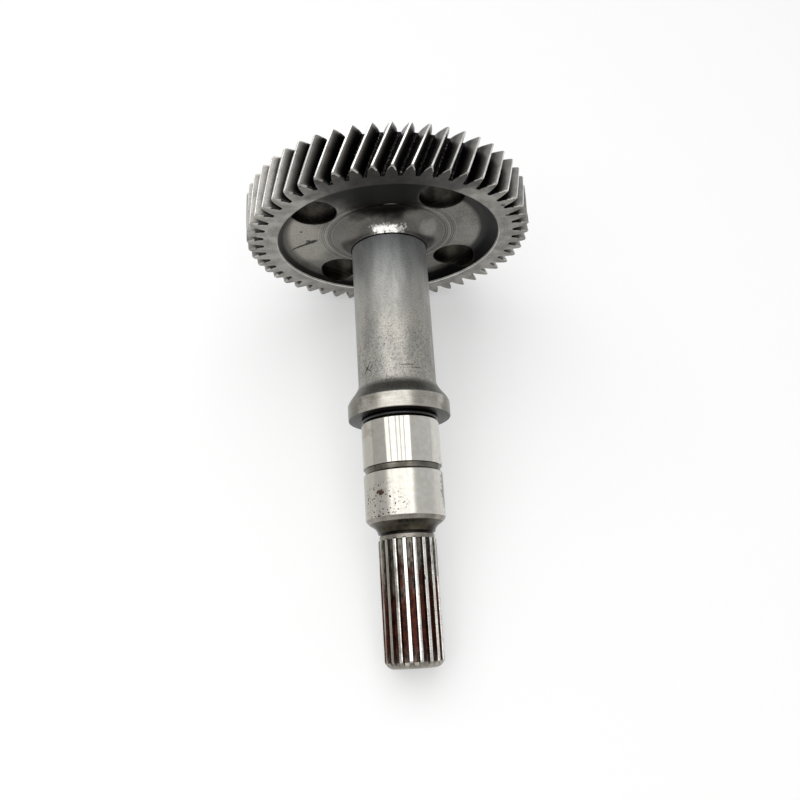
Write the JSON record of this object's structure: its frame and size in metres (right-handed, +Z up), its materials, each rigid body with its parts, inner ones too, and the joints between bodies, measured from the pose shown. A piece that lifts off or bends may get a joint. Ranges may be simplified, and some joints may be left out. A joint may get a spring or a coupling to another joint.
{
  "type": "transmission input shaft",
  "caption": "Forged input shaft with an integral helical gear on a dished web, a long tube, a collar, ground seats and a splined end, lying at rest.",
  "frame": {"origin": "centre of the resting part's box, on the floor", "axes": "+Z up; the shaft's axis lies in the YZ plane and its splined end points to -Y, sloping down to the floor"},
  "size_m": [0.154, 0.2665, 0.1541],
  "materials": {
    "steel": "ground seats, oily tooth flanks, light rust",
    "black_rubber": "glossy"
  },
  "bodies": {
    "root": {"gear_shaft": "steel", "sealing_ring": "black_rubber"}
  },
  "joints": []
}
